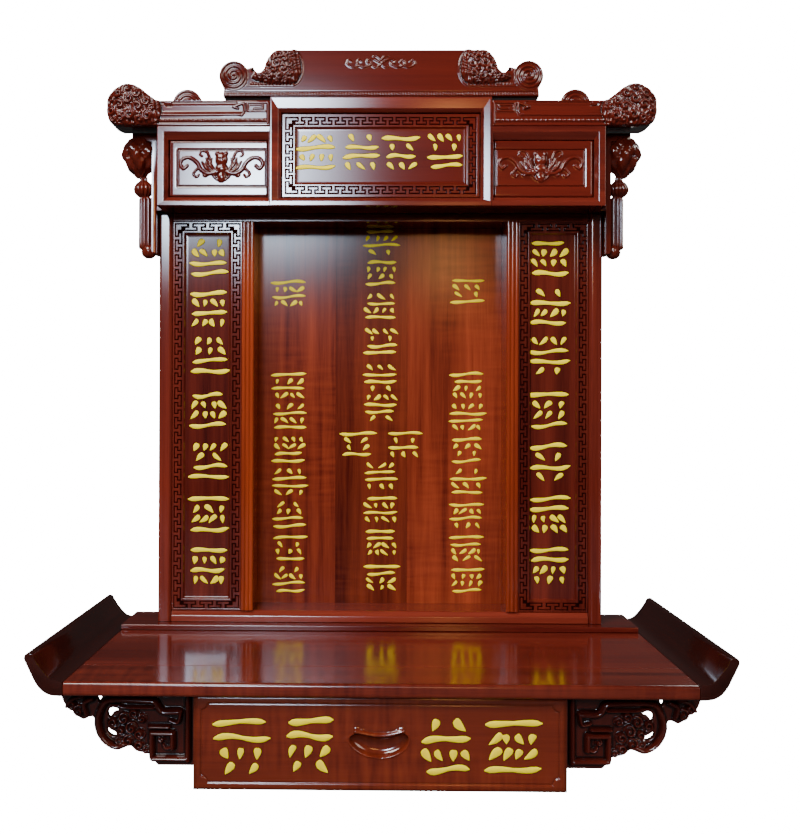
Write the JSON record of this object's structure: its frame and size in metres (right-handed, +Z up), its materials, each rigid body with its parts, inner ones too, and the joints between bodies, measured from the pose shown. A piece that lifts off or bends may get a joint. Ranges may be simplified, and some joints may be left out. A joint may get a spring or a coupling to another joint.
{
  "type": "ancestor shrine niche",
  "caption": "Wall altar of lacquered hardwood: a shelf with upturned ends and a drawer below, carrying a shallow cabinet with an open niche, couplet panels, a carved frieze and crest boards.",
  "frame": {"origin": "middle of the underside of the drawer case, which the shrine stands on", "axes": "+Z up, -Y out of the front towards the worshipper, +Y to the wall, +X to the right seen from the front"},
  "size_m": [0.88, 0.435, 1.006],
  "materials": {
    "red_lacquered_wood": "gloss lacquer",
    "dark_lacquered_wood": "gloss lacquer",
    "amber_lacquered_wood": "gloss lacquer",
    "gilt": "satin gold leaf on the inscriptions"
  },
  "bodies": {
    "shrine": {"back_ledge": "red_lacquered_wood", "back_plank_far_left": "amber_lacquered_wood", "back_plank_far_right": "amber_lacquered_wood", "back_plank_left": "amber_lacquered_wood", "back_plank_middle": "amber_lacquered_wood", "back_plank_right": "amber_lacquered_wood", "bottom_rail": "red_lacquered_wood", "bracket_left": "dark_lacquered_wood", "bracket_right": "dark_lacquered_wood", "cabinet_side_left": "red_lacquered_wood", "cabinet_side_right": "red_lacquered_wood", "cabinet_top": "red_lacquered_wood", "case_back": "red_lacquered_wood", "case_bottom": "red_lacquered_wood", "case_side_left": "red_lacquered_wood", "case_side_right": "red_lacquered_wood", "couplet_panel_left": "red_lacquered_wood", "couplet_panel_right": "red_lacquered_wood", "frieze_back": "red_lacquered_wood", "frieze_frame_left": "red_lacquered_wood", "frieze_frame_right": "red_lacquered_wood", "frieze_panel_left": "red_lacquered_wood", "frieze_panel_right": "red_lacquered_wood", "frieze_side_left": "red_lacquered_wood", "frieze_side_right": "red_lacquered_wood", "frieze_soffit": "red_lacquered_wood", "frieze_top": "red_lacquered_wood", "pendant_left": "dark_lacquered_wood", "pendant_right": "dark_lacquered_wood", "plaque_block": "red_lacquered_wood", "plaque_frame": "red_lacquered_wood", "plaque_panel": "red_lacquered_wood", "reeded_upright_left": "amber_lacquered_wood", "reeded_upright_right": "amber_lacquered_wood", "shelf_back_board": "red_lacquered_wood", "shelf_end_left": "dark_lacquered_wood", "shelf_end_right": "dark_lacquered_wood", "shelf_front_board": "red_lacquered_wood", "side_crest_left": "red_lacquered_wood", "side_crest_right": "red_lacquered_wood", "upper_crest": "red_lacquered_wood"},
    "drawer": {"drawer_back": "dark_lacquered_wood", "drawer_bottom": "dark_lacquered_wood", "drawer_front": "red_lacquered_wood", "drawer_side_left": "dark_lacquered_wood", "drawer_side_right": "dark_lacquered_wood"}
  },
  "joints": [
    {"name": "drawer_slide", "type": "slide", "parent": "shrine", "child": "drawer", "axis": [0, -1, 0], "range_m": [0, 0.24]}
  ]
}
